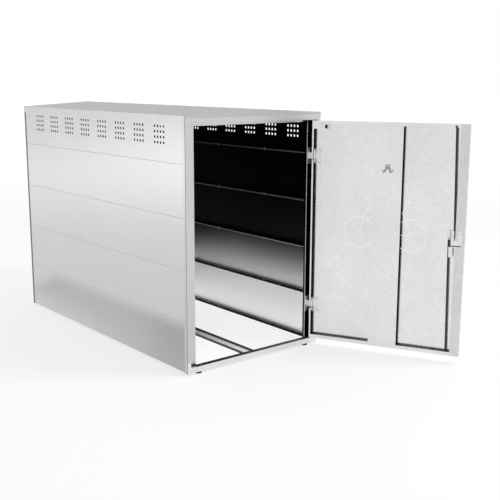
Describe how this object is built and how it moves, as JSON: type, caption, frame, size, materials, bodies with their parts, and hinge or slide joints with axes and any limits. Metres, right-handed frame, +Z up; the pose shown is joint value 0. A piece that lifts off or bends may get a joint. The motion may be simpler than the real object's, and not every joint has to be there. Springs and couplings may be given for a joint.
{
  "type": "bicycle locker",
  "caption": "Bicycle locker of folded sheet steel with a shallow gable roof, vented side walls, a wheel rail and a side-hung front door held by locking rods.",
  "frame": {"origin": "middle of the footprint of the closed locker, on the ground under the levelling feet", "axes": "+X to the right seen from the door side, +Y from the door to the rear wall, +Z up; the door faces -Y"},
  "size_m": [1.4621, 2.9297, 1.539],
  "materials": {
    "frame_steel": "bright folded sheet steel, satin",
    "wall_steel": "bright sheet steel, satin with soft reflections",
    "roof_steel": "bright sheet steel, satin",
    "door_steel": "bright sheet steel, nearly mirror-like",
    "rail_steel": "folded sheet steel",
    "hinge_steel": "machined steel",
    "lock_steel": "bright zinc-plated steel",
    "hook_steel": "polished steel",
    "zinc": "zinc-plated fasteners",
    "lock_chrome": "polished",
    "black_metal": "black coated, satin",
    "black_plastic": "matt black"
  },
  "bodies": {
    "frame": {"front_post_left": "frame_steel", "front_post_right": "frame_steel", "rear_post_left": "frame_steel", "rear_post_right": "frame_steel", "front_header": "frame_steel", "rear_header": "frame_steel", "front_sill": "frame_steel", "rear_sill": "frame_steel", "left_panel_1": "wall_steel", "left_panel_2": "wall_steel", "left_panel_3": "wall_steel", "left_panel_4": "wall_steel", "left_panel_5": "wall_steel", "right_panel_1": "wall_steel", "right_panel_2": "wall_steel", "right_panel_3": "wall_steel", "right_panel_4": "wall_steel", "right_panel_5": "wall_steel", "rear_panel_1": "wall_steel", "rear_panel_2": "wall_steel", "rear_panel_3": "wall_steel", "rear_panel_4": "wall_steel", "rear_panel_5": "wall_steel", "lip_rivets": "zinc", "wall_bolts": "zinc", "wall_nuts": "zinc", "roof_sheet": "roof_steel", "roof_studs": "zinc", "roof_nuts": "zinc", "foot_pads": "black_plastic", "foot_spindles": "zinc", "foot_locknuts": "zinc", "anchor_brackets": "zinc", "wheel_rail": "rail_steel", "rail_screws": "zinc", "sill_rest_block": "black_plastic", "frame_hinge_leaves": "hinge_steel", "hinge_pins": "hinge_steel", "frame_hinge_screws": "zinc"},
    "door": {"door_leaf": "door_steel", "door_stiffener": "door_steel", "door_corner_plate": "door_steel", "door_fixings": "zinc", "door_hinge_leaves": "hinge_steel", "door_hinge_screws": "zinc", "lock_guard": "lock_steel", "lock_guard_screws": "zinc", "cam_stop_block": "lock_steel", "handle_escutcheon": "black_plastic", "coat_hook": "hook_steel"},
    "handle": {"door_handle": "black_metal", "handle_spindle": "zinc", "lock_cam": "zinc", "cam_pins": "zinc"},
    "plug": {"key_plug": "lock_chrome"},
    "upper_rod": {"upper_rod": "black_metal"},
    "lower_rod": {"lower_rod": "black_metal", "lower_rod_link": "lock_steel"}
  },
  "joints": [
    {"name": "door_swing", "type": "hinge", "parent": "frame", "child": "door", "pos_m": [0.479, -1.023, 0.7555], "axis": [0, 0, 1], "range_deg": [-116.5, 0]},
    {"name": "handle_turn", "type": "hinge", "parent": "door", "child": "handle", "pos_m": [0.88015, -1.81189, 0.778], "axis": [-0.8949, -0.4462, 0], "range_deg": [0, 90]},
    {"name": "plug_turn", "type": "hinge", "parent": "handle", "child": "plug", "pos_m": [0.91863, -1.79271, 0.778], "axis": [-0.8949, -0.4462, 0], "range_deg": [0, 90]},
    {"name": "upper_rod_pivot", "type": "hinge", "parent": "handle", "child": "upper_rod", "pos_m": [0.87315, -1.83438, 0.778], "axis": [-0.8949, -0.4462, 0], "range_deg": [-92.5, 0]},
    {"name": "lower_rod_pivot", "type": "hinge", "parent": "handle", "child": "lower_rod", "pos_m": [0.85798, -1.80395, 0.778], "axis": [-0.8949, -0.4462, 0], "range_deg": [-92.5, 0]}
  ],
  "couplings": [
    {"joint": "upper_rod_pivot", "follows": "handle_turn", "ratio": -1.0159},
    {"joint": "lower_rod_pivot", "follows": "handle_turn", "ratio": -1.015}
  ]
}
